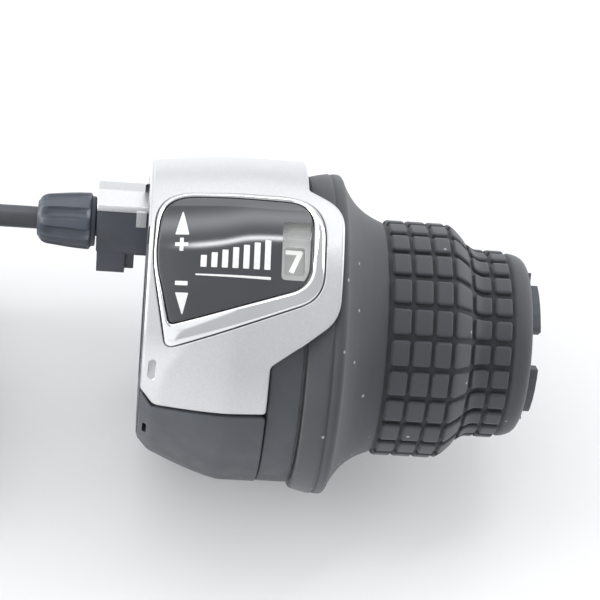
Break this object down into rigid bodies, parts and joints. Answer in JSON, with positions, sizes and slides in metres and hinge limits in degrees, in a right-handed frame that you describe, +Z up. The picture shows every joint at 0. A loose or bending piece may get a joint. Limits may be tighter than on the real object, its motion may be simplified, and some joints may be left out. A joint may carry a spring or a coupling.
{
  "type": "bicycle twist shifter",
  "caption": "Rotary grip shifter for a bicycle handlebar: ribbed rubber twist grip, silver housing with a gear display, barrel adjuster and coiled cable casing.",
  "frame": {"origin": "on the handlebar bore's axis, in the plane of the housing's inboard end", "axes": "+X along the handlebar from the inboard end to the grip end, +Z up through the gear display, +Y away from the rider"},
  "size_m": [0.1679, 0.063, 0.0641],
  "materials": {
    "black_plastic": "fine texture",
    "silver_paint": "satin silver paint on plastic",
    "chrome": "plated",
    "clear_lens": "clear plastic",
    "gloss_black": "printed gloss",
    "pale_plastic": "moulded",
    "rubber": "moulded ribs",
    "steel": "zinc plated",
    "brass": "turned",
    "aluminium": "crimped",
    "casing": "satin sheath",
    "tie": "nylon"
  },
  "bodies": {
    "housing": {"main_housing": "black_plastic", "silver_cover": "silver_paint", "lower_cover": "black_plastic", "display_bezel": "chrome", "display_lens": "clear_lens", "display_plate": "gloss_black", "cable_guide": "pale_plastic", "inner_cable": "steel", "detent_spring": "steel", "thrust_washer": "pale_plastic", "clamp_bolt": "steel", "clamp_nut": "steel", "cover_screw_front": "steel", "cover_screw_rear": "steel", "cover_screw_top": "steel"},
    "grip": {"cable_drum": "pale_plastic", "cable_nipple": "steel", "grip_core": "black_plastic", "gear_number_ring": "pale_plastic", "rubber_sleeve": "rubber"},
    "casing": {"casing_ferrule": "brass", "casing_tube": "casing", "casing_coil": "casing", "coil_tie_near": "tie", "coil_tie_far": "tie", "casing_end_cap": "steel", "wire_tail": "steel", "wire_crimp": "aluminium"},
    "adjuster": {"adjuster_knob": "black_plastic", "adjuster_barrel": "brass"}
  },
  "joints": [
    {"name": "grip_turn", "type": "hinge", "parent": "housing", "child": "grip", "pos_m": [0, 0, 0], "axis": [1, 0, 0], "range_deg": [0, 72]},
    {"name": "casing_slide", "type": "slide", "parent": "housing", "child": "casing", "axis": [-1, 0, 0], "range_m": [0, 0.004]},
    {"name": "adjuster_turn", "type": "hinge", "parent": "casing", "child": "adjuster", "pos_m": [0, 0.026, -0.0035], "axis": [1, 0, 0], "range_deg": [0, 1440]}
  ],
  "couplings": [
    {"joint": "adjuster_turn", "follows": "casing_slide", "rad_per_m": 6283.2}
  ]
}
